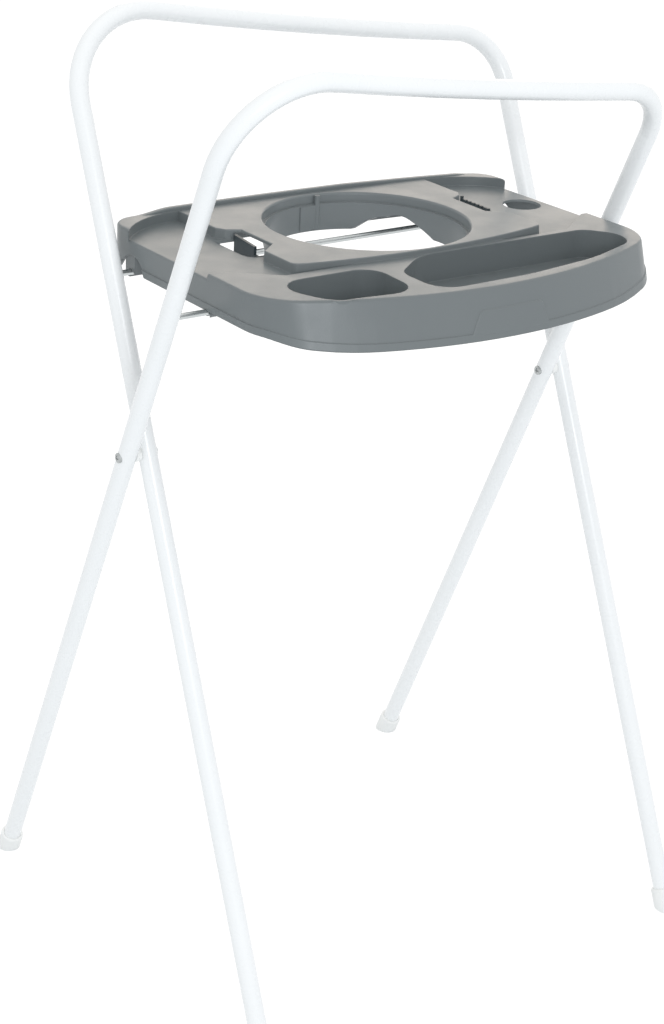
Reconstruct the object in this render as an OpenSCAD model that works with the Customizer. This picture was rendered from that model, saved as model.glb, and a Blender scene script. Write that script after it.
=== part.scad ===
// Folding stand for a baby bath. Two crossed frames of bent steel tube fold on a pivot bolt at each
// side. A moulded tray hangs on a cross rod of the front frame and rests on one of the rear frame.
// X runs along the rails, Y points to the back and Z up. The feet stand on Z = 0, and the pivot axis
// lies over Y = 0. The front rail belongs to the frame whose feet stand at the back.

/* [Frames] */
// Height of the rails at their high, left end
stand_h = 980; // [930:1:1030]
// Height of the pivot axis
pivot_h = 565; // [545:1:590]
// Lean of each frame from the vertical, in degrees
frame_lean = 23.6; // [22:0.1:26]
// Distance between the leg axes of a frame at the pivot
frame_w = 528.6; // [500:0.2:560]
// Splay of each leg from the vertical of its frame, in degrees
leg_splay = 0.43; // [0:0.01:0.8]
// Fall of the rails from left to right, in degrees
rail_slope = 7.7; // [5:0.1:9]
// Bow of the rails, as the angle that they turn through
rail_bow = 3.8; // [2:0.1:6]
// Axis radius of the left bends
left_bend_r = 86; // [60:1:95]
// Axis radius of the right bends
right_bend_r = 60; // [38:1:70]

/* [Tube and wire] */
// Outer diameter of the frame tube
tube_d = 19; // [17:0.5:21]
// Wall of the frame tube
tube_wall = 1.2; // [1:0.1:1.6]
// Gap between the two frames at a pivot
frame_gap = 4; // [3:0.5:6]
// Diameter of the cross rods
rod_d = 6; // [5:0.5:7]
// Height of the cross rods
rod_h = 725; // [710:1:740]

/* [Pivots] */
// Diameter of the pivot bolts
bolt_d = 6; // [5:0.5:7]
// Height of a bolt head
head_h = 3; // [2.5:0.1:3.6]
// Height of a lock nut
nut_h = 4; // [3.6:0.1:4.6]
// Thickness of a washer
washer_t = 0.8; // [0.5:0.1:1]
// Diameter of a bolt head
head_d = 11; // [10:0.5:12]
// Diameter of a lock nut across its corners
nut_d = 11.5; // [11:0.1:12.5]
// Diameter of a washer
washer_d = 12; // [11:0.5:13]
// Outer diameter of the plastic spacers
spacer_d = 14; // [12:0.5:16]

/* [Feet] */
// Outer diameter of a foot cap
foot_d = 25; // [23.5:0.5:27]
// Length of a foot cap along its leg
foot_l = 24; // [20:1:32]
// Thickness of rubber under the end of a leg
foot_sole = 4; // [3:0.5:6]

/* [Tray] */
// Gap between the tray and the legs at each side
tray_gap = 8; // [7:0.5:12]
// Reach of the tray in front of its middle
tray_front = 223; // [212:1:230]
// Reach of the tray behind its middle
tray_back = 116; // [112:1:120]
// Height of the low deck above the rods
deck_h = 32; // [30:0.5:36]
// Step from the low deck up to the front shelf
shelf_step = 5; // [4:0.5:7]
// Step from the low deck up to the platform round the opening
platform_step = 10; // [8:0.5:13]
// Height of the back rim above the low deck
rim_h = 10; // [8:0.5:13]
// Width of the back rim at its middle
rim_w = 7; // [6:0.5:10]
// Wall of the moulding
tray_wall = 2.5; // [2:0.1:3]
// How far the front of the skirt leans out at its foot
skirt_flare = 15; // [8:1:20]
// Height of the skirt's foot above the axes of the rods at the sides
skirt_rise = 2; // [1:0.5:4]
// How much deeper the skirt hangs at the front than at the sides
skirt_drop = 11; // [6:1:14]
// Rounding of the outer top edge
edge_r = 3; // [1:0.5:4]
// Height of the raised band along the foot of the skirt
band_h = 7; // [5:0.5:9]
// How far that band stands out
band_out = 1; // [0.6:0.1:1.4]
// Radius of the front corners
corner_r = 60; // [45:1:70]
// Radius of the back corners
back_corner_r = 28; // [20:1:36]

/* [Openings in the tray] */
// Radius of the round opening above its ledge
well_r = 104; // [100:0.5:106]
// Rounding of the opening's top edge
well_edge_r = 3; // [2:0.5:4]
// Width of the ledge
ledge_w = 3; // [2:0.5:5]
// Depth of the ledge below the platform
ledge_depth = 10; // [8:0.5:12]
// Depth of both compartments below the front shelf
pocket_depth = 29; // [22:1:31]
// Radius of the round cup hole
cup_r = 20; // [16:0.5:22]
// Width of the windows that the snap fingers stand in
window_w = 28; // [25:0.5:30]
// Length of those windows
window_l = 62; // [56:1:66]

/* [Fits] */
// Radial clearance of a shaft in its hole
shaft_gap = 0.05; // [0.03:0.01:0.08]
// Gap between a fixed piece and its seat
seat_gap = 0.1; // [0.05:0.05:0.2]
// Gap between pieces that slide past each other
slide_gap = 0.2; // [0.1:0.05:0.3]

/* [Hidden] */

$fn = 64;
FRONT = 1;            // the frame that carries the front rail
REAR = -1;            // the frame that carries the rear rail
LEFT = -1;
RIGHT = 1;
STEEL_WHITE = [0.95, 0.96, 0.96];
ZINC = [0.62, 0.65, 0.67];
CAP_WHITE = [0.93, 0.93, 0.92];
TRAY_GREY = [0.49, 0.5, 0.5];
FINGER_GREY = [0.3, 0.32, 0.33];

hair = 0.05;                                // half the gap that a seam ring closes
tube_r = tube_d / 2;
bore_r = tube_r - tube_wall;
rod_r = rod_d / 2;
rod_bore_r = rod_r + shaft_gap;
bolt_r = bolt_d / 2;
bolt_bore_r = bolt_r + shaft_gap;
frame_shift = tube_d + frame_gap;           // sideways step from one frame to the other

// ---- one frame in its own plane: x across, z along the legs, origin on the pivot axis ----
tan_splay = tan(leg_splay);
function leg_x(v) = frame_w / 2 - v * tan_splay;
foot_v = -(pivot_h - foot_sole) / cos(frame_lean) + tube_r * tan(frame_lean);
corner_v = (stand_h - tube_r - pivot_h) / cos(frame_lean);
rod_v = (rod_h - pivot_h) / cos(frame_lean);
left_heading = -rail_slope - rail_bow / 2;  // heading of the rail as it leaves the left bend
right_heading = -rail_slope + rail_bow / 2; // heading of the rail as it enters the right bend
left_turn = 90 - leg_splay - left_heading;
right_turn = 90 - leg_splay + right_heading;
left_tangent = left_bend_r * tan(left_turn / 2);
right_tangent = right_bend_r * tan(right_turn / 2);
left_run = cos(left_heading) + tan_splay * sin(left_heading);
right_run = cos(right_heading) + tan_splay * sin(right_heading);
half_rail = (2 * leg_x(corner_v) - left_tangent * left_run - right_tangent * right_run)
            / (left_run + right_run);
rail_r = half_rail / tan(rail_bow / 2);     // axis radius of the bowed rail
function along(heading, length) = [length * cos(heading), length * sin(heading)];
left_corner = [-leg_x(corner_v), corner_v];
left_bend_start = left_corner - along(90 - leg_splay, left_tangent);
rail_start = left_corner + along(left_heading, left_tangent);
rail_end = rail_start + along(left_heading, half_rail) + along(right_heading, half_rail);
right_corner = rail_end + along(right_heading, right_tangent);
right_bend_end = right_corner + along(-90 + leg_splay, right_tangent);

rod_y = rod_v * sin(frame_lean);            // the rods lie at -rod_y and +rod_y
grip = frame_shift + tube_d;                // from the tube under the head to the tube under the nut
nut_collar_h = 1.2;                         // height of the round collar on top of a lock nut
thread_end = 1.5;                           // thread that shows beyond the nut
cap_round = 2;                              // rounding of the top edge of a foot cap

// ---- the tray: origin midway between the rods, at their height ----
clear_half_w = leg_x(rod_v) - frame_shift / 2 - tube_r;
front_half_w = clear_half_w - tray_gap;
back_half_w = front_half_w - 7;             // the right side runs inwards to the back
front_y = -tray_front;
back_y = tray_back;
front_arc_r = 475;
back_arc_r = 3000;
back_crest_x = -100;                        // where the bowed back edge reaches furthest
shelf_z = deck_h + shelf_step;
platform_z = deck_h + platform_step;
rim_z = deck_h + rim_h;
shelf_y = -rod_y;                           // where the front shelf begins at the sides
rim_corner_r = 100;                         // the inner side of the rim turns wide corners
rim_corner_x = 78;                          // and runs out at the sides, this far from their centres
well_c = [-4, -3];
well_low_r = well_r - ledge_w;
well_foot_z = rod_r + 0.5;                  // the collar of the opening stops above the rods
key_azimuth = 84;                           // direction of the key ridge in the opening
key_r = 3;
key_pad_a = 12;                             // angle that the pad beside the ridge spans
key_pad_t = 1.2;
arch_r = 22;
skirt_arch = [rod_y - 6.5, deck_h - 13.5, 40, 150];     // y and z of its crown, back and front angles
collar_arch = [rod_y - 16.5, deck_h - 10.5, 51, 117];
platform_half_w = 131.5;                    // half width of the platform at its waist
platform_edge_r = 1.2;
platform_front_y = well_c[1] - well_r - well_edge_r - platform_edge_r - 0.6;
platform_arc_r = 700;
platform_arc_a = 11.2;
platform_ear = 19.5;                        // how far the platform widens beside its waist
platform_corner_r = 8;
platform_draft = 1.5;
shelf_jog_x = 12;                           // inset of the step's outer corner from the tray's side
shelf_meet_x = platform_half_w + 39.5;      // where the shelf's edge meets the platform's front
window_y = -3;
window_front_y = window_y - window_l / 2;
window_back_y = window_y + window_l / 2;
window_inner_x = platform_half_w - tray_wall - 1;
window_outer_x = platform_half_w + window_w;
window_corner = 9;                          // how far its front corner is cut off
finger_x = platform_half_w + 12.5;
finger_l = 35;
toothed_l = 46;                             // the right finger is longer
finger_t = 3;
cup_x = front_half_w - 33;
pocket_split_x = -79;                       // middle of the web between the two compartments
pocket_back_y = platform_front_y - 10.5;
clip_t = 7;
rest_t = 3;
wide_rest_t = 12;                           // the outer rests are blocks against the skirt

function arc_points(c, r, a0, a1, n) =
    [for (i = [0:n]) c + r * [cos(a0 + (a1 - a0) * i / n), sin(a0 + (a1 - a0) * i / n)]];
function mirrored(points) =
    [for (i = [len(points) - 1:-1:0]) if (points[i][0] > 0.01) [-points[i][0], points[i][1]]];
function unit(v) = v / norm(v);

// Outline through corners given as [x, y, radius], counterclockwise, each corner an arc of 6 steps.
function rounded(corners) =
    let (last = len(corners) - 1)
    [for (i = [0:last])
        let (
            p = [corners[i][0], corners[i][1]],
            before = corners[i == 0 ? last : i - 1],
            after = corners[i == last ? 0 : i + 1],
            u = unit([before[0], before[1]] - p),
            w = unit([after[0], after[1]] - p),
            half = acos(u * w) / 2,
            c = p + unit(u + w) * corners[i][2] / sin(half),
            start = p + u * corners[i][2] / tan(half) - c,
            a = atan2(start[1], start[0]),
            turn = (u[0] * w[1] - u[1] * w[0] < 0 ? 1 : -1) * (180 - 2 * half)
        )
        each arc_points(c, corners[i][2], a, a + turn, 6)];

// Right half of the tray's plan for a half width at the back and a place of the crest of the back edge.
function half_plan(inset, out, back_w, crest_x) =
    let (
        side = atan((front_half_w - back_w) / (back_y - front_y - corner_r - back_corner_r)),
        shift = out * [tan(side), -1],          // along the side, so that all walls stay flat
        front_c = [0, front_y + front_arc_r],
        back_c = [crest_x, back_y - back_arc_r],
        corner_x = front_half_w - corner_r,
        corner_c = [corner_x, front_c[1] - sqrt(pow(front_arc_r - corner_r, 2) - pow(corner_x, 2))],
        back_x = back_w - back_corner_r,
        back_corner_c = [back_x, back_c[1]
                         + sqrt(pow(back_arc_r - back_corner_r, 2) - pow(back_x - crest_x, 2))],
        front_a = -acos(corner_x / (front_arc_r - corner_r)),
        back_a = acos((back_x - crest_x) / (back_arc_r - back_corner_r)),
        middle_a = acos(-crest_x / (back_arc_r - inset))
    )
    concat(
        arc_points(front_c + shift, front_arc_r - inset, -90, front_a, 10),
        arc_points(corner_c + shift, corner_r - inset, front_a + 5, side, 9),
        arc_points(back_corner_c, back_corner_r - inset, side, back_a, 7),
        arc_points(back_c, back_arc_r - inset, back_a + (middle_a - back_a) / 4, middle_a, 3));

// Plan of the tray, drawn "inset" mm inside its edge, with the front edge moved out by "out".
function tray_plan(inset = 0, out = 0) =
    concat(half_plan(inset, out, back_half_w, back_crest_x),
           mirrored(half_plan(inset, out, front_half_w, -back_crest_x)));

// Height of the foot of the skirt, level along the sides and dropping in a smooth curve at the front.
drop_start_y = front_y + 68;
drop_end_y = front_y + 5;
function skirt_foot_z(y) =
    let (s = min(1, max(0, (drop_start_y - y) / (drop_start_y - drop_end_y))))
    skirt_rise - skirt_drop * (1 - cos(180 * s)) / 2;

// ---- shared modules ----
module in_frame(side) {
    translate([-side * frame_shift / 2, 0, pivot_h]) rotate([side * frame_lean, 0, 0]) children();
}

module along_x(x0, x1, r) {
    translate([x0, 0, 0]) rotate([0, 90, 0]) cylinder(h = x1 - x0, r = r);
}

module tube_profile() {
    difference() {
        circle(r = tube_r);
        circle(r = bore_r);
    }
}

// Straight tube between two points of the frame's plane.
module straight_tube(from, to) {
    run = to - from;
    translate([from[0], 0, from[1]]) rotate([0, atan2(run[0], run[1]), 0])
        linear_extrude(norm(run) - hair) tube_profile();
}

// Ring that joins two stretches of tube across the hair gap left between them.
module seam(at, heading) {
    translate([at[0], 0, at[1]]) rotate([0, 90 - heading, 0]) difference() {
        cylinder(h = 20 * hair, r = tube_r + hair, center = true);
        cylinder(h = 30 * hair, r = bore_r - hair, center = true);
    }
}

// Tube bent round a centre in the frame's plane, from one angle to a larger one.
module bent_tube(centre, r, a0, a1, steps) {
    trim = hair / r * 57.3;
    translate([centre[0], 0, centre[1]]) rotate([90, 0, 0]) rotate([0, 0, a0 + trim])
        rotate_extrude(angle = a1 - a0 - 2 * trim, $fn = ceil(steps * 360 / (a1 - a0)))
            translate([r, 0]) rotate(180) difference() {
                circle(r = tube_r, $fn = 64);
                circle(r = bore_r, $fn = 64);
            }
}

module rail_frame(side) {
    color(STEEL_WHITE) in_frame(side) difference() {
        union() {
            straight_tube([-leg_x(foot_v), foot_v], left_bend_start);
            bent_tube(left_bend_start + along(-leg_splay, left_bend_r), left_bend_r,
                      left_heading + 90, 180 - leg_splay, 14);
            bent_tube(rail_start + along(left_heading + 90, rail_r), rail_r,
                      left_heading - 90, right_heading - 90, 8);
            bent_tube(rail_end + along(right_heading - 90, right_bend_r), right_bend_r,
                      leg_splay, right_heading + 90, 12);
            straight_tube([leg_x(foot_v), foot_v], right_bend_end);
            seam(left_bend_start, 90 - leg_splay);
            seam(rail_start, left_heading);
            seam(rail_end, right_heading);
            seam(right_bend_end, 90 + leg_splay);
        }
        for (leg = [LEFT, RIGHT]) {
            translate([leg * leg_x(0), 0, 0]) along_x(-tube_d, tube_d, bolt_bore_r);
            translate([leg * (leg_x(rod_v) - tube_r), 0, rod_v]) along_x(-tube_r, tube_r, rod_bore_r);
        }
    }
}

module cross_rod(side) {
    reach = leg_x(rod_v) + bore_r - slide_gap - rod_r;
    color(ZINC) in_frame(side) translate([0, 0, rod_v]) along_x(-reach, reach, rod_r);
}

// Everything on a pivot bolt is placed from the outer face of the tube under its head.
function bolt_x(end) = end * leg_x(0) - frame_shift / 2 - tube_r;

module at_pivot(end) {
    translate([bolt_x(end), 0, pivot_h]) children();
}

module pivot_bolt(end) {
    tip = grip + washer_t + nut_h + thread_end;
    color(ZINC) at_pivot(end) {
        along_x(-washer_t - seat_gap, tip, bolt_r);
        translate([-washer_t - seat_gap, 0, 0]) rotate([0, -90, 0])
            cylinder(h = head_h, d1 = head_d, d2 = head_d * 0.78);
    }
}

module pivot_nut(end) {
    color(ZINC) at_pivot(end) difference() {
        union() {
            translate([grip + washer_t + 2 * seat_gap, 0, 0]) rotate([0, 90, 0])
                cylinder(h = nut_h - nut_collar_h, d = nut_d, $fn = 6);
            along_x(grip + washer_t + nut_h / 2, grip + washer_t + nut_h, nut_d * 0.39);
        }
        along_x(grip, grip + washer_t + 2 * nut_h, bolt_bore_r);
    }
}

module washer(x) {
    translate([x, 0, 0]) difference() {
        along_x(0, washer_t, washer_d / 2);
        along_x(-washer_t, 2 * washer_t, bolt_bore_r);
    }
}

module head_washer(end) {
    color(ZINC) at_pivot(end) washer(-washer_t - seat_gap / 2);
}

module nut_washer(end) {
    color(ZINC) at_pivot(end) washer(grip + seat_gap);
}

// Plastic spacer, hollowed on one side to sit on the front rail's leg.
module pivot_spacer(end) {
    leg_axis = end * leg_x(0) - frame_shift / 2;
    color(CAP_WHITE) difference() {
        translate([leg_axis, 0, pivot_h]) along_x(tube_r / 2, tube_r + frame_gap - slide_gap, spacer_d / 2);
        in_frame(FRONT) translate([end * leg_x(0), 0, 0]) rotate([0, -end * leg_splay, 0])
            cylinder(h = 3 * spacer_d, r = tube_r + seat_gap, center = true);
        translate([leg_axis, 0, pivot_h]) along_x(0, tube_d, bolt_bore_r);
    }
}

// Cap over the end of a leg. Its foot is cut level with the floor.
module foot_cap(side, leg) {
    end_l = tube_r * tan(frame_lean) + foot_sole / cos(frame_lean);
    cap_top = 2 * foot_d + foot_l - end_l;
    color(CAP_WHITE) intersection() {
        in_frame(side) translate([leg * leg_x(foot_v), 0, foot_v]) rotate([0, -leg * leg_splay, 0])
            difference() {
                translate([0, 0, -2 * foot_d]) rotate_extrude() polygon(concat(
                    [[0, 0], [foot_d / 2, 0]],
                    arc_points([foot_d / 2, cap_top] - cap_round * [1, 1], cap_round, 0, 90, 5),
                    [[0, cap_top]]));
                cylinder(h = 2 * foot_l, r = tube_r + seat_gap);
            }
        translate([-stand_h, -stand_h, 0]) cube([2 * stand_h, 2 * stand_h, stand_h]);
    }
}

// ---- the tray ----
module at_tray() {
    translate([0, 0, rod_h]) children();
}

// Solid through outlines with as many points each, given with their heights from the lowest up.
module loft(layers) {
    n = len(layers[0][0]);
    top = len(layers) - 1;
    polyhedron(
        points = [for (layer = layers) each [for (p = layer[0]) [p[0], p[1], layer[1]]]],
        faces = concat(
            [[for (i = [0:n - 1]) i]],
            [[for (i = [n - 1:-1:0]) top * n + i]],
            [for (k = [0:top - 1], i = [0:n - 1])
                [k * n + i, (k + 1) * n + i, k * n + (i + 1) % n]],
            [for (k = [0:top - 1], i = [0:n - 1])
                [k * n + (i + 1) % n, (k + 1) * n + i, (k + 1) * n + (i + 1) % n]]));
}

// Steps of a rounded top edge, each as [inset, fall below the top]. The last one lies above the top,
// where the block is cut level.
function edge_steps(r) = r == 0 ? [[0, -1]] : concat(
    [for (a = [0:30:60]) r * [1 - cos(a), 1 - sin(a)]],
    [r * [2 - cos(60), sin(60) - 1]]);

module level_top(top) {
    intersection() {
        children();
        translate([-stand_h / 2, -stand_h / 2, -stand_h / 2]) cube([stand_h, stand_h, stand_h / 2 + top]);
    }
}

// Block of the tray's plan, from below the skirt up to "top", leaning out at the front.
module tray_block(inset, top, edge = 0) {
    low_z = skirt_rise - skirt_drop - 3;
    lean = skirt_flare / (shelf_z - low_z);
    level_top(top) loft(concat(
        [[tray_plan(inset, skirt_flare), low_z]],
        [for (step = edge_steps(edge))
            [tray_plan(inset + step[0], lean * (shelf_z - top + step[1])), top - step[1]]]));
}

// Strip below (or in a band above) the foot of the skirt, swept along X.
module skirt_foot_cut(rise, depth) {
    start = front_y - skirt_flare - 10;
    ys = concat([start], [for (i = [0:12]) drop_end_y + i * (drop_start_y - drop_end_y) / 12]);
    points = concat(
        [for (y = ys) [y, skirt_foot_z(y) + rise]],
        [[back_y + 20, skirt_rise + rise], [back_y + 20, skirt_rise + rise - depth]],
        [for (i = [len(ys) - 1:-1:0]) [ys[i], skirt_foot_z(ys[i]) + rise - depth]]);
    rotate([90, 0, 90]) linear_extrude(stand_h, center = true) polygon(points);
}

// Front shelf: runs back to the rods at the sides and to the platform in the middle.
function shelf_plan(inset = 0) =
    let (
        x = front_half_w + 20,
        meet_y = platform_front_y + 5 - inset,
        half = [[x, shelf_y - inset], [front_half_w - shelf_jog_x, shelf_y - inset],
                [shelf_meet_x, meet_y], [0, meet_y]]
    )
    concat([[-x, front_y - 40], [x, front_y - 40]], half,
           [for (i = [len(half) - 2:-1:0]) [-half[i][0], half[i][1]]]);

// Platform round the opening: waisted at the windows and bowed along its front, where its wall is
// thicker by "front_wall" because it meets the wall of the opening.
function platform_plan(inset = 0, front_wall = 0) =
    let (
        x = platform_half_w - inset,
        ear_x = x + platform_ear,
        half = concat(
            arc_points([0, platform_front_y + platform_arc_r], platform_arc_r - inset - front_wall,
                       -90, -90 + platform_arc_a, 6),
            arc_points([platform_half_w + platform_ear - platform_corner_r,
                        platform_front_y + 16 + platform_corner_r], platform_corner_r - inset, -70, 0, 4),
            [[ear_x, window_front_y - 12], [x, window_front_y + 4],
             [x, window_back_y - 4], [x + 0.7 * platform_ear, window_back_y + 3],
             [ear_x, window_back_y + 12], [ear_x, back_y - rim_w + 2 - inset]])
    )
    [for (p = concat(half, mirrored(half))) p + [well_c[0], 0]];

module platform(top) {
    level_top(top) loft(concat(
        [[platform_plan(-platform_draft), deck_h - 4]],
        [for (step = edge_steps(platform_edge_r)) [platform_plan(step[0]), top - step[1]]]));
}

// Inner side of the back rim, with corners so wide that the rim runs out to nothing at both sides.
function rim_inner(inset) =
    let (
        back_c = [back_crest_x, back_y - back_arc_r],
        arc_r = back_arc_r - rim_w + inset,
        reach = arc_r - rim_corner_r,
        right = [back_half_w - rim_corner_x, 0],
        left = [rim_corner_x - front_half_w, 0],
        right_c = [right[0], back_c[1] + sqrt(pow(reach, 2) - pow(right[0] - back_c[0], 2))],
        left_c = [left[0], back_c[1] + sqrt(pow(reach, 2) - pow(left[0] - back_c[0], 2))],
        right_a = acos((right[0] - back_c[0]) / reach),
        left_a = acos((left[0] - back_c[0]) / reach)
    )
    concat(
        [[left_c[0] - rim_corner_r - 9, 0], [right_c[0] + rim_corner_r + 9, 0]],
        arc_points(right_c, rim_corner_r, 24, right_a, 9),
        arc_points(back_c, arc_r, right_a + 1, left_a - 1, 6),
        arc_points(left_c, rim_corner_r, left_a, 156, 9));

module rim(inset, top, edge) {
    difference() {
        level_top(top) loft(concat(
            [[tray_plan(inset), deck_h - 4]],
            [for (step = edge_steps(edge)) [tray_plan(inset + step[0]), top - step[1]]]));
        translate([0, 0, deck_h - 5]) linear_extrude(stand_h) polygon(rim_inner(inset));
        translate([-stand_h / 2, 1 - stand_h, 0]) cube([stand_h, stand_h, stand_h]);
    }
}

// Left compartment: a trapezium with round corners, drawn "grow" mm outside its wall.
function small_pocket_plan(grow = 0) =
    rounded([
        [-front_half_w + 56 - grow, front_y + 33 - grow, 30 + grow],
        [pocket_split_x - 9 + grow, front_y + 21 - grow, 26 + grow],
        [pocket_split_x - 5 + grow, pocket_back_y + grow, 22 + grow],
        [-front_half_w + 28 - grow, pocket_back_y + grow, 26 + grow]
    ]);

// Right compartment: long, following the front edge.
function long_pocket_plan(grow = 0) =
    rounded([
        [pocket_split_x + 9 - grow, front_y + 13 - grow, 26 + grow],
        [40, front_y + 15 - grow, 300],
        [130, front_y + 28 - grow, 200],
        [front_half_w - 33 + grow, front_y + 54 - grow, 30 + grow],
        [front_half_w - 27 + grow, front_y + 82, 24 + grow],
        [front_half_w - 50 + grow, pocket_back_y + 8 + grow, 22 + grow],
        [-22, pocket_back_y + 10 + grow, 60 + grow],
        [pocket_split_x + 9 - grow, front_y + 74, 26 + grow]
    ]);

module pocket(points, wall_points) {
    floor_z = shelf_z - pocket_depth;
    difference() {
        translate([0, 0, floor_z - tray_wall]) linear_extrude(pocket_depth + tray_wall - 0.5)
            polygon(wall_points);
        translate([0, 0, floor_z]) linear_extrude(stand_h) polygon(points);
    }
}

module ring(c, outer_r, inner_r, z0, z1) {
    translate([c[0], c[1], z0]) difference() {
        cylinder(h = z1 - z0, r = outer_r, $fn = 96);
        translate([0, 0, -1]) cylinder(h = z1 - z0 + 2, r = inner_r, $fn = 96);
    }
}

// Cut with a round crown and straight flanks that lets the rear rod swing out.
module rod_arch(crown, x0, x1) {
    c = [crown[0], crown[1] - arch_r];
    flank = 3 * arch_r;
    translate([x0, 0, 0]) rotate([90, 0, 90]) linear_extrude(x1 - x0) polygon(concat(
        [c + arch_r * [cos(crown[2]), sin(crown[2])] + flank * [sin(crown[2]), -cos(crown[2])]],
        arc_points(c, arch_r, crown[2], crown[3], 8),
        [c + arch_r * [cos(crown[3]), sin(crown[3])] - flank * [sin(crown[3]), -cos(crown[3])]]));
}

// Clip that snaps over the front rod: a rib down from the deck with a bored boss.
module hinge_clip(x, top) {
    boss_r = rod_bore_r + tray_wall;
    mouth_w = rod_d * 0.85;
    translate([x, -rod_y, 0]) difference() {
        union() {
            along_x(-clip_t / 2, clip_t / 2, boss_r);
            translate([-clip_t / 2, -boss_r, 0]) cube([clip_t, 2 * boss_r, top]);
        }
        along_x(-clip_t, clip_t, rod_bore_r);
        translate([-clip_t, -mouth_w / 2, -2 * boss_r]) cube([2 * clip_t, mouth_w, 2 * boss_r]);
    }
}

// Rib that rests on the rear rod. Its notch opens forwards and down, the way the rod leaves it.
module rear_rest(x, top, t) {
    rest_l = 18;
    notch_r = rod_r + slide_gap;
    mouth_a = 28;                           // the mouth spans these angles forwards from below
    mouth_b = 60;
    side_a = 1.04 * notch_r * [cos(mouth_a), -sin(mouth_a)];
    side_b = 1.04 * notch_r * [-cos(mouth_b), sin(mouth_b)];
    out = 2 * rest_l;
    translate([x, rod_y, 0]) difference() {
        translate([-t / 2, -rest_l / 2, -rod_r - 2]) cube([t, rest_l, top + rod_r + 2]);
        along_x(-t, t, notch_r);
        translate([-t, 0, 0]) rotate([90, 0, 90]) linear_extrude(2 * t)
            polygon([side_b, side_b - out * [sin(mouth_b), cos(mouth_b)],
                     side_a - out * [sin(mouth_a), cos(mouth_a)], side_a]);
    }
}

module tray_shell() {
    difference() {
        union() {
            tray_block(0, deck_h, edge_r - 0.5);
            intersection() {
                tray_block(0, shelf_z, edge_r);
                translate([0, 0, -skirt_drop]) linear_extrude(stand_h) polygon(shelf_plan());
            }
            platform(platform_z);
            rim(0, deck_h + rim_h, edge_r);
        }
        union() {
            tray_block(tray_wall, deck_h - tray_wall);
            intersection() {
                tray_block(tray_wall, shelf_z - tray_wall);
                translate([0, 0, -skirt_drop]) linear_extrude(stand_h) polygon(shelf_plan(tray_wall));
            }
            translate([0, 0, deck_h - 5]) linear_extrude(platform_step + 5 - tray_wall)
                polygon(platform_plan(tray_wall, 1.5 * tray_wall));
        }
        skirt_foot_cut(0, 60);
    }
    difference() {
        intersection() {
            tray_block(-band_out, deck_h);
            skirt_foot_cut(band_h, band_h);
        }
        tray_block(tray_wall - 0.2, deck_h);
    }
}

// Wall of the round opening, stepped on its outer side.
module well_wall() {
    step_z = platform_z - ledge_depth - tray_wall;
    top_z = platform_z - tray_wall / 2;
    translate([well_c[0], well_c[1], 0]) rotate_extrude($fn = 96) polygon([
        [well_low_r, well_foot_z], [well_low_r + tray_wall, well_foot_z],
        [well_low_r + tray_wall, step_z], [well_r + tray_wall, step_z],
        [well_r + tray_wall, top_z], [well_low_r, top_z]]);
}

// What the opening takes out above its ledge: a bore with a rounded top edge.
module well_bore() {
    edge_c = [well_r + well_edge_r, platform_z - well_edge_r + 0.1];
    translate([well_c[0], well_c[1], 0]) rotate_extrude($fn = 96) polygon(concat(
        [[0, platform_z - ledge_depth], [well_r, platform_z - ledge_depth]],
        arc_points(edge_c, well_edge_r, 180, 90, 4),
        [[edge_c[0], platform_z + 1], [0, platform_z + 1]]));
}

// Key of the opening: an upright round ridge with a shallow pad at its left.
module key() {
    ledge_z = platform_z - ledge_depth;
    pad_r = well_low_r - key_pad_t;
    translate([well_c[0], well_c[1], 0]) {
        rotate(key_azimuth) translate([well_r - key_r + 0.5, 0, well_foot_z + 1])
            cylinder(h = platform_z - well_foot_z - 2, r = key_r, $fn = 24);
        rotate(key_azimuth) translate([0, 0, well_foot_z + 2])
            rotate_extrude(angle = key_pad_a, $fn = 96)
                translate([pad_r, 0]) square([key_pad_t + 0.5, ledge_z - well_foot_z - 3]);
    }
}

// Window beside the platform's waist. It also opens the waist's flank.
module window(side) {
    points = [[window_inner_x, window_front_y], [window_outer_x - window_corner, window_front_y],
              [window_outer_x - 0.2 * window_corner, window_front_y + 0.7 * window_corner],
              [window_outer_x, window_front_y + 1.6 * window_corner],
              [window_outer_x, window_back_y], [window_inner_x, window_back_y]];
    translate([well_c[0], 0, 0]) scale([side, 1, 1]) linear_extrude(platform_z - tray_wall - 0.5)
        polygon(points);
}

module tray_moulding() {
    color(TRAY_GREY) at_tray() {
        difference() {
            union() {
                tray_shell();
                pocket(small_pocket_plan(), small_pocket_plan(tray_wall));
                pocket(long_pocket_plan(), long_pocket_plan(tray_wall));
                well_wall();
            }
            translate([0, 0, shelf_z - pocket_depth]) linear_extrude(stand_h)
                polygon(small_pocket_plan());
            translate([0, 0, shelf_z - pocket_depth]) linear_extrude(stand_h)
                polygon(long_pocket_plan());
            well_bore();
            rod_arch(skirt_arch, -stand_h / 2, stand_h / 2);
            rod_arch(collar_arch, -platform_half_w, platform_half_w);
            translate([0, -rod_y, 0]) along_x(-stand_h / 2, stand_h / 2, rod_r + slide_gap);
            translate([cup_x, 0, 0]) cylinder(h = stand_h, r = cup_r);
            for (side = [LEFT, RIGHT]) window(side);
        }
        for (side = [LEFT, RIGHT]) {
            hinge_clip(side * (front_half_w - tray_wall - clip_t / 2 + 0.3), deck_h - 1);
            hinge_clip(side * (platform_half_w - 14.5), platform_z - 1);
            rear_rest(side * (side == LEFT ? front_half_w : back_half_w)
                      - side * (tray_wall + wide_rest_t / 2 - 1), deck_h - 1, wide_rest_t);
            rear_rest(side * (platform_half_w + 5.5), platform_z - 1, rest_t);
        }
        key();
    }
}

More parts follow.
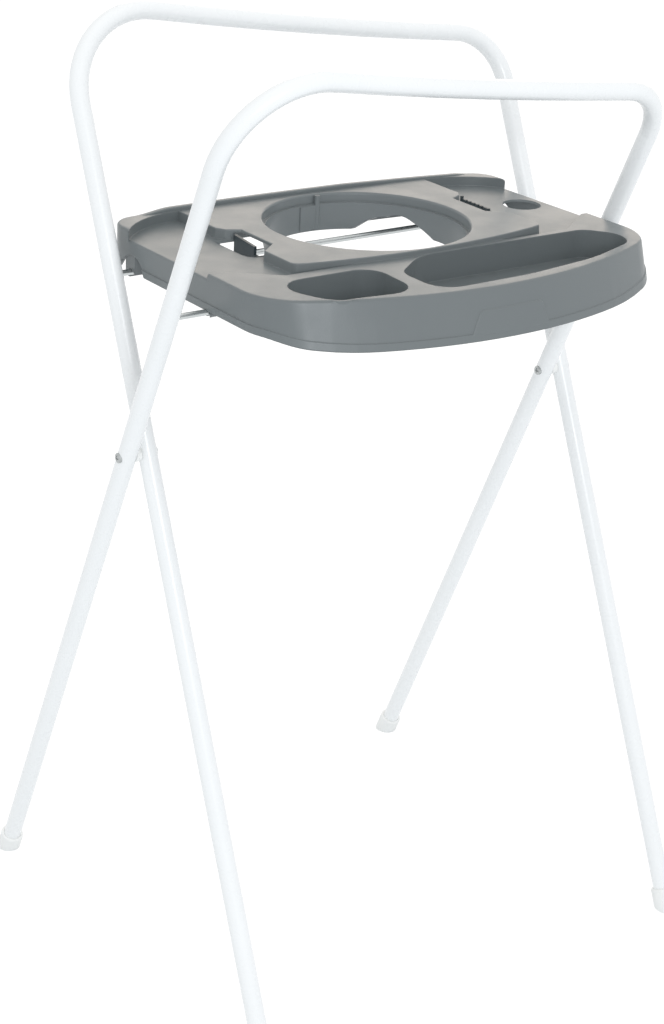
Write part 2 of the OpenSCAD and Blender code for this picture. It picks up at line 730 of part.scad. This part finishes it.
// Springy finger that stands free in its window. Its root is a block at the front end of the window,
// with a lip under the deck. The right one has teeth along its top and a small tab at the back.
module snap_finger(side) {
    root_l = 6;
    lip = 3;
    teeth = 5;
    tooth_l = 4.3;
    tab_t = 2;
    root_front = window_front_y + seat_gap;
    root_w = window_outer_x - window_corner - window_inner_x - 2 * seat_gap;
    root_x = side * (window_inner_x + seat_gap + root_w / 2);
    front = window_front_y + 14;
    back = front + (side == RIGHT ? toothed_l : finger_l);
    front_top = platform_z - (side == RIGHT ? 2 : 4);
    back_top = platform_z - (side == RIGHT ? 2 : 1);
    translate([well_c[0], 0, 0]) color(FINGER_GREY) at_tray() difference() {
        union() {
            translate([root_x - root_w / 2, root_front, deck_h - 7]) cube([root_w, root_l, 6]);
            translate([root_x - root_w / 2, root_front - lip, deck_h - 7])
                cube([root_w, root_l + lip, 7 - tray_wall - seat_gap]);
            translate([side * finger_x - finger_t / 2, 0, 0]) rotate([90, 0, 90])
                linear_extrude(finger_t)
                    polygon([[root_front + 1, deck_h - 8], [back, deck_h - 8], [back, back_top],
                             [front, front_top], [front, deck_h - 2], [root_front + 1, deck_h - 2]]);
            if (side == RIGHT)
                translate([side * finger_x - finger_t / 2, back - tab_t, deck_h - 3])
                    cube([finger_t, tab_t, platform_step + 3.5]);
        }
        if (side == RIGHT)
            for (i = [0:teeth - 1])
                translate([side * finger_x - finger_t, front + 8 + i * 1.5 * tooth_l, front_top - 2.5])
                    cube([2 * finger_t, tooth_l * 0.7, 10]);
    }
}

rail_frame(FRONT);  // front_rail_frame
rail_frame(REAR);  // rear_rail_frame
cross_rod(FRONT);  // front_rod
cross_rod(REAR);  // rear_rod
pivot_bolt(LEFT);  // left_pivot_bolt
pivot_bolt(RIGHT);  // right_pivot_bolt
pivot_nut(LEFT);  // left_pivot_nut
pivot_nut(RIGHT);  // right_pivot_nut
head_washer(LEFT);  // left_head_washer
head_washer(RIGHT);  // right_head_washer
nut_washer(LEFT);  // left_nut_washer
nut_washer(RIGHT);  // right_nut_washer
pivot_spacer(LEFT);  // left_pivot_spacer
pivot_spacer(RIGHT);  // right_pivot_spacer
foot_cap(FRONT, LEFT);  // back_left_foot
foot_cap(FRONT, RIGHT);  // back_right_foot
foot_cap(REAR, LEFT);  // front_left_foot
foot_cap(REAR, RIGHT);  // front_right_foot
tray_moulding();
snap_finger(LEFT);  // left_snap_finger
snap_finger(RIGHT);  // right_snap_finger
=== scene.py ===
"""Folding baby bath stand, dressed for a studio picture. Metres, +X right, +Y back, +Z up.

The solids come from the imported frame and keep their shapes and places. This file gives each of them its
finish and adds what they lack: the screw heads with their end caps, the bare plate on the front of the
tray, and the crest of its back rim. Below, the stand is put together from the frames up, and then set in
the studio.
"""
import math

import bpy
import numpy as np
from mathutils import Matrix, Vector


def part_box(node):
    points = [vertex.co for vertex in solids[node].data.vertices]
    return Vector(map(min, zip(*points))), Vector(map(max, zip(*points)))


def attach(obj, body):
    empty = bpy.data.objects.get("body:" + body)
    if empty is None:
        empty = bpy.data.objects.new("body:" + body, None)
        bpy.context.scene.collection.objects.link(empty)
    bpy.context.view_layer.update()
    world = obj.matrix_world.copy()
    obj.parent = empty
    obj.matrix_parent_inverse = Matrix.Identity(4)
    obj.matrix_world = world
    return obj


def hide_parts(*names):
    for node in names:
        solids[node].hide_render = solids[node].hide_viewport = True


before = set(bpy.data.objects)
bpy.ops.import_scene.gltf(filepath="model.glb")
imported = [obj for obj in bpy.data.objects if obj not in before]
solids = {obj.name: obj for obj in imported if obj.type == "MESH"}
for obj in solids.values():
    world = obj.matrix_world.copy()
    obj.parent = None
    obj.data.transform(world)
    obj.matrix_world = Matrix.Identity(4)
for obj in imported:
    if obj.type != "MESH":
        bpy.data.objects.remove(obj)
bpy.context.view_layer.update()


# ---- Rail frames ----
# Two frames, each one length of 19 mm steel tube bent cold into a rail and two legs, drilled for the
# bolts and rods, and sprayed with white powder that melts in an oven to a hard, even skin.

def linear(code):
    """Hex colour to linear: a channel c is c / 12.92 up to 0.04045, else ((c + 0.055) / 1.055) ^ 2.4."""
    c = np.array([int(code[i:i + 2], 16) for i in (1, 3, 5)]) / 255
    return (*np.where(c <= 0.04045, c / 12.92, ((c + 0.055) / 1.055) ** 2.4), 1.0)


def add(tree, kind, settings=(), links=()):
    """Add one node. Settings go to its sockets, or else to its own fields; links go to its sockets."""
    node = tree.nodes.new(kind)
    for key, value in dict(settings).items():
        if isinstance(key, int) or key in node.inputs:
            node.inputs[key].default_value = value
        else:
            setattr(node, key, value)
    for key, source in dict(links).items():
        tree.links.new(source, node.inputs[key])
    return node


def new_finish(name, colour):
    """Empty material with the point on the object that its patterns are read at."""
    finish = bpy.data.materials.new(name)
    finish.use_nodes = True
    finish.node_tree.nodes.clear()
    finish.diffuse_color = linear(colour)
    place = add(finish.node_tree, "ShaderNodeTexCoord").outputs["Object"]
    return finish, finish.node_tree, place


def give(finish, *names):
    """Put a finish on whole solids."""
    for name in names:
        solids[name].data.materials.clear()
        solids[name].data.materials.append(finish)


# White polyester powder coat: a hard, fairly glossy skin (IOR 1.5). Its film is thicker in places, which
# shifts the white a little over some 90 mm, handling dulls it in patches of 15 mm, and it sets with
# ripples like orange peel.
powder_coat, tree, place = new_finish("polyester_powder_coat", "#F5F8F8")
film = add(tree, "ShaderNodeTexNoise", {"Scale": 1 / 0.09, "Detail": 3.0}, {"Vector": place})
whites = add(tree, "ShaderNodeMix", {"data_type": "RGBA", "A": linear("#F6F8F8"), "B": linear("#FAFBFB")},
             {"Factor": film.outputs["Fac"]})
handling = add(tree, "ShaderNodeTexNoise", {"Scale": 1 / 0.015, "Detail": 2.0}, {"Vector": place})
gloss = add(tree, "ShaderNodeMapRange", {"From Min": 0.35, "From Max": 0.65, "To Min": 0.24, "To Max": 0.32},
            {"Value": handling.outputs["Fac"]})
# Real orange peel is 1 to 2 mm across, about a pixel here, so it is drawn 5 mm across and very shallow.
peel = add(tree, "ShaderNodeTexNoise", {"Scale": 1 / 0.005, "Detail": 2.0}, {"Vector": place})
skin = add(tree, "ShaderNodeBump", {"Distance": 0.000012}, {"Height": peel.outputs["Fac"]})
coat = add(tree, "ShaderNodeBsdfPrincipled", {"IOR": 1.5, "Coat Weight": 0.2, "Coat Roughness": 0.12},
           {"Base Color": whites.outputs["Result"], "Roughness": gloss.outputs[0],
            "Normal": skin.outputs[0]})
add(tree, "ShaderNodeOutputMaterial", links={"Surface": coat.outputs[0]})
give(powder_coat, "front_rail_frame", "rear_rail_frame")


# ---- Foot caps and spacers ----
# White caps of soft polyethylene, moulded and pushed over the ends of the legs. The spacers that keep the
# frames apart at the crossings are turned from the same stock.

# Polyethylene: waxy (IOR 1.51), duller and a little warmer than the coat, and scuffed over 8 mm by the
# floor. The grain of its mould is drawn 1.2 mm coarse to show.
cap_plastic, tree, place = new_finish("moulded_white_polyethylene", "#EDEEEB")
scuffs = add(tree, "ShaderNodeTexNoise", {"Scale": 1 / 0.008, "Detail": 3.0}, {"Vector": place})
whites = add(tree, "ShaderNodeMix", {"data_type": "RGBA", "A": linear("#F5F6F4"), "B": linear("#FAFAF8")},
             {"Factor": scuffs.outputs["Fac"]})
dull = add(tree, "ShaderNodeMapRange", {"From Min": 0.35, "From Max": 0.65, "To Min": 0.4, "To Max": 0.55},
           {"Value": scuffs.outputs["Fac"]})
softened = add(tree, "ShaderNodeBevel", {"samples": 6, "Radius": 0.0008})
grain = add(tree, "ShaderNodeTexNoise", {"Scale": 1 / 0.0012, "Detail": 2.0}, {"Vector": place})
skin = add(tree, "ShaderNodeBump", {"Distance": 0.00003},
           {"Height": grain.outputs["Fac"], "Normal": softened.outputs[0]})
wax = add(tree, "ShaderNodeBsdfPrincipled", {"IOR": 1.51},
          {"Base Color": whites.outputs["Result"], "Roughness": dull.outputs[0], "Normal": skin.outputs[0]})
add(tree, "ShaderNodeOutputMaterial", links={"Surface": wax.outputs[0]})
give(cap_plastic, "back_left_foot", "back_right_foot", "front_left_foot", "front_right_foot",
     "left_pivot_spacer", "right_pivot_spacer")


# ---- Screws through the crossings ----
# A galvanised screw with a low round head and a cross recess holds the frames together at each side. A
# thin white cap, moulded like the foot caps, is pushed on its end. The two stand in for the plain bolt,
# nut and washers of the solids.

HEAD_R, HEAD_H = 0.0051, 0.0021         # radius and height of the head
SHANK_R, SHORT = 0.003, 0.0005          # radius of the shank, and how far it stops inside the far tube
CAP_R, CAP_H = 0.0041, 0.0013           # radius and height of the cap on the far end
SEAT = 0.0016                           # both reach this far round the tube's curve
HEAD_DOME, CAP_DOME = (0.65, 2.2, 0.2), (0.7, 2.4, 0.15)       # fall, power and edge of each dome
BROW = 0.97                             # share of the radius at which a dome ends and its edge begins
RECESS_L, RECESS_W, RECESS_D = 0.0056, 0.0013, 0.0016
FLANK = 0.0002                          # width of the slope at the edge of the recess
SHALLOW, REACH = 0.4, 0.75              # share of the depth left at the distance REACH * RECESS_L
PIVOT_Z = 0.565


def new_piece(name, points, faces, crease=180):
    """Object at the origin with its shape in its mesh, shaded smooth but for edges past the crease."""
    mesh = bpy.data.meshes.new(name)
    mesh.from_pydata(points, [], faces)
    mesh.polygons.foreach_set("use_smooth", np.ones(len(mesh.polygons), bool))
    mesh.set_sharp_from_angle(angle=math.radians(crease))
    piece = bpy.data.objects.new(name, mesh)
    bpy.context.scene.collection.objects.link(piece)
    return piece


def tube_of_rings(rings, around):
    """Numbers of the points ring by ring, and the four-sided faces that join each ring to the next."""
    i = np.arange(rings * around).reshape(rings, around)
    j = np.roll(i, -1, axis=1)
    return i, np.stack([i[:-1], j[:-1], j[1:], i[1:]], axis=-1).reshape(-1, 4).tolist()


def turned(name, profile, x, steps=96, carve=None):
    """Surface of revolution: the point at (a, r) of the profile goes to x + a along the pivot axis, and
    to r * cos(t), r * sin(t) across it, for angles t all round. Where a is below 0, carve(y, z) gives
    how far a point sinks along the axis."""
    a, r = np.array(profile).T
    t = np.linspace(0, 2 * np.pi, steps, endpoint=False)
    y, z = r[:, None] * np.cos(t), r[:, None] * np.sin(t)
    along = np.broadcast_to(x + a[:, None], y.shape).copy()
    if carve:
        along += carve(y, z) * (a < 0)[:, None]
    rings = np.stack([along, y, PIVOT_Z + z], axis=-1)
    ends = np.array([[along[0].mean(), 0, PIVOT_Z], [along[-1].mean(), 0, PIVOT_Z]])
    points = np.concatenate([rings.reshape(-1, 3), ends])
    i, walls = tube_of_rings(len(a), steps)
    j = np.roll(i, -1, axis=1)
    first = np.stack([j[0], i[0], np.full(steps, len(points) - 2)], axis=-1)
    last = np.stack([i[-1], j[-1], np.full(steps, len(points) - 1)], axis=-1)
    return new_piece(name, points, walls + first.tolist() + last.tolist(), crease=40)


def dome(height, radius, fall, power, edge, steps=25):
    """Profile (a, r) of a low dome that rises along the axis, from its middle to its rim: at s * radius
    it stands height * (1 - fall * s ^ power) high, up to s = BROW, and at its radius edge * height."""
    s = BROW * np.linspace(0, 1, steps + 1)[1:]
    return [*zip(height * (1 - fall * s ** power), radius * s), (edge * height, radius)]


def cross_recess(y, z):
    """Depth of the recess: inside either of two crossed bars, deepest in the middle, less with the
    distance from it, and falling to nothing across the flank."""
    bars = [np.minimum(RECESS_L / 2 - abs(u), RECESS_W / 2 - abs(v)) for u, v in ((y, z), (z, y))]
    near = 1 - np.clip(np.hypot(y, z) / (REACH * RECESS_L), 0, 1)
    return RECESS_D * (SHALLOW + (1 - SHALLOW) * near) * np.clip(np.maximum(*bars) / FLANK, 0, 1)


# Galvanised steel: zinc plated over steel and rubbed by the driver. A metal, so it takes its colour from
# the base; the plating is mottled over 3 mm.
zinc_plate, tree, place = new_finish("zinc_plated_steel", "#B2B6B7")
mottle = add(tree, "ShaderNodeTexNoise", {"Scale": 1 / 0.003, "Detail": 3.0}, {"Vector": place})
greys = add(tree, "ShaderNodeMix", {"data_type": "RGBA", "A": linear("#9A9FA0"), "B": linear("#C9CCCC")},
            {"Factor": mottle.outputs["Fac"]})
rubbed = add(tree, "ShaderNodeMapRange", {"From Min": 0.35, "From Max": 0.65, "To Min": 0.24, "To Max": 0.42},
             {"Value": mottle.outputs["Fac"]})
softened = add(tree, "ShaderNodeBevel", {"samples": 6, "Radius": 0.0003})
metal = add(tree, "ShaderNodeBsdfPrincipled", {"Metallic": 1.0},
            {"Base Color": greys.outputs["Result"], "Roughness": rubbed.outputs[0],
             "Normal": softened.outputs[0]})
add(tree, "ShaderNodeOutputMaterial", links={"Surface": metal.outputs[0]})

for side in ("left", "right"):
    head_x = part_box(f"{side}_head_washer")[1][0]        # outer face of the tube under the head
    far_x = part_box(f"{side}_nut_washer")[0][0]          # outer face of the far tube
    shank = [(SEAT, HEAD_R), (SEAT, SHANK_R), (far_x - head_x - SHORT, SHANK_R)]
    head = turned(f"{side}_cross_screw", dome(-HEAD_H, HEAD_R, *HEAD_DOME) + shank, head_x,
                  carve=cross_recess)
    cap = turned(f"{side}_end_cap", [(-SEAT, CAP_R)] + dome(CAP_H, CAP_R, *CAP_DOME)[::-1], far_x)
    for piece, finish, gone in ((head, zinc_plate, ("pivot_bolt", "head_washer")),
                                (cap, cap_plastic, ("pivot_nut", "nut_washer"))):
        piece.data.materials.append(finish)
        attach(piece, "front_frame")
        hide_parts(*(f"{side}_{name}" for name in gone))


# ---- Cross rods ----
# Plain 6 mm wire across each frame, drawn bright through a die and cut off inside the legs.

# Bright drawn steel: a metal with fine lines along the wire, left by the die. The lines are a few
# hundredths of a millimetre wide, so they are drawn 2 mm apart round the wire and 60 mm long.
drawn_steel, tree, place = new_finish("bright_drawn_steel", "#C7CBCC")
lengthwise = add(tree, "ShaderNodeMapping", {"Scale": (1 / 0.06, 1 / 0.002, 1 / 0.002)}, {"Vector": place})
die_lines = add(tree, "ShaderNodeTexNoise", {"Scale": 1.0, "Detail": 3.0}, {"Vector": lengthwise.outputs[0]})
greys = add(tree, "ShaderNodeMix", {"data_type": "RGBA", "A": linear("#B9BFC0"), "B": linear("#D4D7D7")},
            {"Factor": die_lines.outputs["Fac"]})
drawn = add(tree, "ShaderNodeMapRange", {"From Min": 0.35, "From Max": 0.65, "To Min": 0.22, "To Max": 0.38},
            {"Value": die_lines.outputs["Fac"]})
skin = add(tree, "ShaderNodeBump", {"Distance": 0.00003}, {"Height": die_lines.outputs["Fac"]})
wire = add(tree, "ShaderNodeBsdfPrincipled", {"Metallic": 1.0},
           {"Base Color": greys.outputs["Result"], "Roughness": drawn.outputs[0],
            "Normal": skin.outputs[0]})
add(tree, "ShaderNodeOutputMaterial", links={"Surface": wire.outputs[0]})
give(drawn_steel, "front_rod", "rear_rod")


# ---- Tray ----
# One large injection moulding in grey polypropylene, 2.5 mm thick, with a stepped round opening, two
# compartments and a flared skirt. It clips over the front rod and rests on the rear one.

# Polypropylene (IOR 1.49) from a mould with a fine spark-eroded grain: satin, with soft edges. The
# melt leaves faint clouds some 120 mm across, and as it sets the walls sink a little in patches of
# 30 mm, where the sheen varies too. The grain is about 0.15 mm, drawn 1 mm coarse to show.
tray_plastic, tree, place = new_finish("moulded_grey_polypropylene", "#717778")
melt = add(tree, "ShaderNodeTexNoise", {"Scale": 1 / 0.12, "Detail": 3.0}, {"Vector": place})
greys = add(tree, "ShaderNodeMix", {"data_type": "RGBA", "A": linear("#6E7476"), "B": linear("#747A7B")},
            {"Factor": melt.outputs["Fac"]})
patches = add(tree, "ShaderNodeTexNoise", {"Scale": 1 / 0.03, "Detail": 3.0}, {"Vector": place})
satin = add(tree, "ShaderNodeMapRange", {"From Min": 0.35, "From Max": 0.65, "To Min": 0.29, "To Max": 0.37},
            {"Value": patches.outputs["Fac"]})
softened = add(tree, "ShaderNodeBevel", {"samples": 8, "Radius": 0.0014})
sink = add(tree, "ShaderNodeBump", {"Distance": 0.0001},
           {"Height": patches.outputs["Fac"], "Normal": softened.outputs[0]})
grain = add(tree, "ShaderNodeTexNoise", {"Scale": 1 / 0.001, "Detail": 2.0}, {"Vector": place})
skin = add(tree, "ShaderNodeBump", {"Distance": 0.00005},
           {"Height": grain.outputs["Fac"], "Normal": sink.outputs[0]})
moulded = add(tree, "ShaderNodeBsdfPrincipled", {"IOR": 1.49},
              {"Base Color": greys.outputs["Result"], "Roughness": satin.outputs[0],
               "Normal": skin.outputs[0]})
add(tree, "ShaderNodeOutputMaterial", links={"Surface": moulded.outputs[0]})
give(tray_plastic, "tray_moulding")


def blend_flats(mesh, limit):
    """Shade a curved wall that is made of narrow flats as one surface: at each corner of a face, the
    normals of all the faces that meet there are added up by area, if they are within the limit of its
    own. No point moves."""
    loops = np.empty(len(mesh.loops), int)
    mesh.loops.foreach_get("vertex_index", loops)
    points = np.empty(3 * len(mesh.vertices))
    mesh.vertices.foreach_get("co", points)
    _, place_of = np.unique(np.round(points.reshape(-1, 3), 6), axis=0, return_inverse=True)
    count, area, normal = (np.empty(n * len(mesh.polygons), t) for n, t in ((1, int), (1, float), (3, float)))
    mesh.polygons.foreach_get("loop_total", count)
    mesh.polygons.foreach_get("area", area)
    mesh.polygons.foreach_get("normal", normal)
    own = np.repeat(normal.reshape(-1, 3), count, axis=0)
    weight = own * np.repeat(area, count)[:, None]
    spot = place_of.ravel()[loops]
    order = np.argsort(spot, kind="stable")
    first = np.searchsorted(spot[order], spot)
    many = np.bincount(spot)[spot]
    blended = np.zeros_like(own)
    for k in range(many.max()):
        other = order[np.minimum(first + k, len(order) - 1)]
        near = (k < many) & ((own * own[other]).sum(axis=1) > math.cos(limit))
        blended += weight[other] * near[:, None]
    blended /= np.linalg.norm(blended, axis=1)[:, None]
    mesh.polygons.foreach_set("use_smooth", np.ones(len(mesh.polygons), bool))
    mesh.normals_split_custom_set(blended)


blend_flats(solids["tray_moulding"].data, math.radians(16))


# ---- Bare plate on the tray's front ----
# A raised trapezium on the front of the skirt, moulded in one with the tray. It grows out of the band
# along the skirt's foot and stands a little prouder than the band.

ROD_Z = 0.725                                   # the tray's heights are counted from the rods
ARC_R, ARC_Y = 0.475, 0.252                     # radius and centre of the bowed front edge
SHELF_Z, LEAN = 0.037, 0.015 / 0.049            # the skirt leans out below the shelf's height
FOOT, TOP = -0.0045, 0.0185                     # lower and upper edge of the plate
FOOT_X, TOP_X = (-0.0505, 0.0435), (-0.0375, 0.0375)
PROUD, CORNER, SLOPE, SUNK = 0.0013, 0.004, 0.0018, 0.0004
BAND_TOP, DIVE, DIVE_H = -0.0032, 0.0006, 0.001     # below this height the plate dives under the band
PLATE_T = 0.001


def smooth_step(s):
    """0 up to s = 0, 1 from s = 1 on, and s * s * (3 - 2 * s) between."""
    s = np.clip(s, 0, 1)
    return s * s * (3 - 2 * s)


def skirt_plate(name, across=150, up=50):
    """Grid over the trapezium: u runs across it and v up it. A point is laid on the skirt's cone (an arc
    that moves forwards with the depth) and lifted by its distance inside the outline, whose corners are
    rounded: from sunk at the edge to proud, along a smooth step."""
    u, v = np.meshgrid(np.linspace(0, 1, across), np.linspace(0, 1, up))
    low = FOOT_X[0] + (TOP_X[0] - FOOT_X[0]) * v
    high = FOOT_X[1] + (TOP_X[1] - FOOT_X[1]) * v
    x = low + (high - low) * u
    z = FOOT + (TOP - FOOT) * v
    side = np.minimum(x - low, high - x)
    crown = TOP - z
    corner = CORNER - np.hypot(np.maximum(CORNER - side, 0), np.maximum(CORNER - crown, 0))
    inside = np.where((side < CORNER) & (crown < CORNER), corner, np.minimum(side, crown))
    lift = -SUNK + (PROUD + SUNK) * smooth_step(inside / SLOPE)
    lift -= DIVE * np.clip((BAND_TOP - z) / DIVE_H, 0, 1)
    y = ARC_Y - LEAN * (SHELF_Z - z) - np.sqrt((ARC_R + lift) ** 2 - x ** 2)
    points = np.stack([x, y, ROD_Z + z], axis=-1).reshape(-1, 3)
    i = np.arange(across * up).reshape(up, across)
    faces = np.stack([i[:-1, :-1], i[:-1, 1:], i[1:, 1:], i[1:, :-1]], axis=-1).reshape(-1, 4)
    piece = new_piece(name, points, faces.tolist())
    wall = piece.modifiers.new("wall", "SOLIDIFY")
    wall.thickness = PLATE_T
    wall.offset = -1
    return piece


plate = skirt_plate("front_plate")
plate.data.materials.append(tray_plastic)
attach(plate, "tray")


# ---- Crest of the back rim ----
# The upper edge of the rim along the tray's back, moulded in one with it. It stands above the platform
# and runs out at both corners.

RIM_X, RISE = (-0.206, 0.206), 0.045            # where the crest runs out, and how far it takes to rise
RIM_TOP, RIM_ROOT = 0.767, 0.0035               # height of the solid rim, and depth of the crest in it
EDGE_Y, EDGE_R, EDGE_X = 0.1157, 3.0, -0.1      # back edge: its furthest y, its radius, and where that is
CREST_H, CREST_W = 0.004, 0.0062
HIDDEN = 0.0005                                 # its ends stop this far below the rim's top
FALL_X, FALL = (0.05, 0.146, 0.19, 0.206), (1, 0.62, 0.4, 0)       # the crest gets lower to the right


def rim_crest(name, along=260, around=56):
    """Bar along the back edge, a flat arc: x runs from end to end, and y is the edge's furthest y less
    (x - EDGE_X) ^ 2 / (2 * EDGE_R). Its section is a superellipse of the fifth power, so it has flat
    sides and round edges. Its height comes up along a smooth step and goes down in straight lines."""
    x = np.linspace(*RIM_X, along)[:, None]
    rise = smooth_step((x - RIM_X[0]) / RISE)
    high = (CREST_H + HIDDEN) * rise * np.interp(x, FALL_X, FALL) - HIDDEN
    middle_y = EDGE_Y - (x - EDGE_X) ** 2 / (2 * EDGE_R) - CREST_W / 2
    t = np.linspace(0, 2 * np.pi, around, endpoint=False)
    out, up = (np.sign(f) * abs(f) ** 0.4 for f in (np.cos(t), np.sin(t)))
    y = middle_y + CREST_W / 2 * out
    z = RIM_TOP + (high - RIM_ROOT) / 2 + (high + RIM_ROOT) / 2 * up
    points = np.stack([x + 0 * y, y, z], axis=-1).reshape(-1, 3)
    i, walls = tube_of_rings(along, around)
    return new_piece(name, points, walls + [i[0, ::-1].tolist(), i[-1].tolist()], crease=40)


crest = rim_crest("rim_crest")
crest.data.materials.append(tray_plastic)
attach(crest, "tray")


# ---- Snap fingers ----
# Two dark tongues that stand up in the windows beside the round opening and hold the bath. They are
# moulded apart from the tray and clipped in by their roots. Their dark grey is painted shade, the shade of
# the windows they stand in.

# Grey acetal (IOR 1.48), chosen for its spring: smooth, a little duller than the tray. Its dark grey is
# painted shade, the shade of the windows the tongues stand in. The sheen varies over 6 mm where the mould
# was polished by hand.
finger_plastic, tree, place = new_finish("acetal_with_painted_shade", "#333C40")
polish = add(tree, "ShaderNodeTexNoise", {"Scale": 1 / 0.006, "Detail": 2.0}, {"Vector": place})
# Both greys are painted shade: darker than the tray, for the shade in the windows.
painted_shade_greys = add(tree, "ShaderNodeMix", {"data_type": "RGBA", "A": linear("#2F383C"), "B": linear("#384246")},
            {"Factor": polish.outputs["Fac"]})
sheen = add(tree, "ShaderNodeMapRange", {"From Min": 0.35, "From Max": 0.65, "To Min": 0.32, "To Max": 0.45},
            {"Value": polish.outputs["Fac"]})
softened = add(tree, "ShaderNodeBevel", {"samples": 6, "Radius": 0.0006})
skin = add(tree, "ShaderNodeBump", {"Distance": 0.00004},
           {"Height": polish.outputs["Fac"], "Normal": softened.outputs[0]})
tongue = add(tree, "ShaderNodeBsdfPrincipled", {"IOR": 1.48},
             {"Base Color": painted_shade_greys.outputs["Result"], "Roughness": sheen.outputs[0],
              "Normal": skin.outputs[0]})
add(tree, "ShaderNodeOutputMaterial", links={"Surface": tongue.outputs[0]})
give(finger_plastic, "left_snap_finger", "right_snap_finger")


# ---- Studio floor ----
# A white sweep 12 m across. To the camera, and in reflections, it glows nearly white by itself, and
# light on it adds the rest, so that the stand's shadow stays faintly visible.

def seen_directly(tree):
    """1 for rays that should meet the white background: from the camera, or off gloss, or through glass."""
    rays = add(tree, "ShaderNodeLightPath")
    shiny = add(tree, "ShaderNodeMath", {"operation": "MAXIMUM"},
                {0: rays.outputs["Is Camera Ray"], 1: rays.outputs["Is Glossy Ray"]})
    return add(tree, "ShaderNodeMath", {"operation": "MAXIMUM"},
               {0: shiny.outputs[0], 1: rays.outputs["Is Transmission Ray"]}).outputs[0]


floor = new_piece("floor", [(-6, -6, 0), (6, -6, 0), (6, 6, 0), (-6, 6, 0)], [(0, 1, 2, 3)])
sweep = bpy.data.materials.new("white_studio_sweep")
sweep.use_nodes = True
tree = sweep.node_tree
tree.nodes.clear()
plain = add(tree, "ShaderNodeBsdfDiffuse", {"Color": linear("#E6E9EB")})
faint = add(tree, "ShaderNodeBsdfDiffuse", {"Color": linear("#8E8E8E")})
glow = add(tree, "ShaderNodeEmission", {"Strength": 0.86})
seen = add(tree, "ShaderNodeAddShader", links={0: faint.outputs[0], 1: glow.outputs[0]})
either = add(tree, "ShaderNodeMixShader",
             links={0: seen_directly(tree), 1: plain.outputs[0], 2: seen.outputs[0]})
add(tree, "ShaderNodeOutputMaterial", links={"Surface": either.outputs[0]})
floor.data.materials.append(sweep)


# ---- Light ----
# A cool, even fill from all round, as in a white tent. A soft box in front draws a sheen on the skirt. Warm
# ones overhead and behind make the tops of the tray lighter and warmer than its walls. The background is
# white behind everything.

def soft_box(name, place, aim, size, watts, colour):
    """Square area lamp at a place, turned to face a point."""
    lamp = bpy.data.lights.new(name, "AREA")
    lamp.size, lamp.energy, lamp.color = size, watts, linear(colour)[:3]
    box = bpy.data.objects.new(name, lamp)
    bpy.context.scene.collection.objects.link(box)
    box.location = place
    box.rotation_euler = (Vector(aim) - Vector(place)).to_track_quat("-Z", "Y").to_euler()


soft_box("front_soft_box", (-1.1, -2.85, 1.75), (0, 0, 0.7), 0.8, 20, "#F8FBFF")
soft_box("top_soft_box", (0.2, 0.4, 3.3), (0, 0, 0.7), 2.6, 5, "#FFF4E6")
soft_box("back_soft_box", (2.0, 2.2, 1.9), (0, 0, 0.72), 2.2, 14, "#FFEBD6")

studio = bpy.data.worlds.new("white_studio")
bpy.context.scene.world = studio
studio.use_nodes = True
tree = studio.node_tree
tree.nodes.clear()
fill = add(tree, "ShaderNodeBackground", {"Color": linear("#FBFDFF"), "Strength": 0.865})
white = add(tree, "ShaderNodeBackground", {"Color": (1, 1, 1, 1), "Strength": 1.0})
either = add(tree, "ShaderNodeMixShader",
             links={0: seen_directly(tree), 1: fill.outputs[0], 2: white.outputs[0]})
add(tree, "ShaderNodeOutputWorld", links={"Surface": either.outputs[0]})
bpy.context.scene.view_settings.view_transform = "Standard"


# ---- Camera ----
# Worked out from the edges of the tubes in the picture of the stand, which is 664 by 1024 pixels.

EYE = (-1.28814, -1.70659, 1.3653)
HEADING, DOWN, TILT = (math.radians(v) for v in (36.69, 22.18, 2.87))
FOCAL, CENTRE, FRAME = 2208.42, (342.0, 471.13), (664, 1024)        # in pixels

ahead = Vector((math.sin(HEADING) * math.cos(DOWN), math.cos(HEADING) * math.cos(DOWN), -math.sin(DOWN)))
level = Vector((math.cos(HEADING), -math.sin(HEADING), 0))
upward = level.cross(ahead)
lens = bpy.data.cameras.new("camera")
lens.sensor_width = 36
lens.lens = FOCAL * lens.sensor_width / FRAME[1]
lens.shift_x = (FRAME[0] / 2 - CENTRE[0]) / FRAME[1]
lens.shift_y = (CENTRE[1] - FRAME[1] / 2) / FRAME[1]
lens.clip_end = 20
camera = bpy.data.objects.new("camera", lens)
bpy.context.scene.collection.objects.link(camera)
axes = Matrix((level * math.cos(TILT) + upward * math.sin(TILT),
               upward * math.cos(TILT) - level * math.sin(TILT), -ahead)).transposed().to_4x4()
axes.translation = EYE
camera.matrix_world = axes
bpy.context.scene.camera = camera
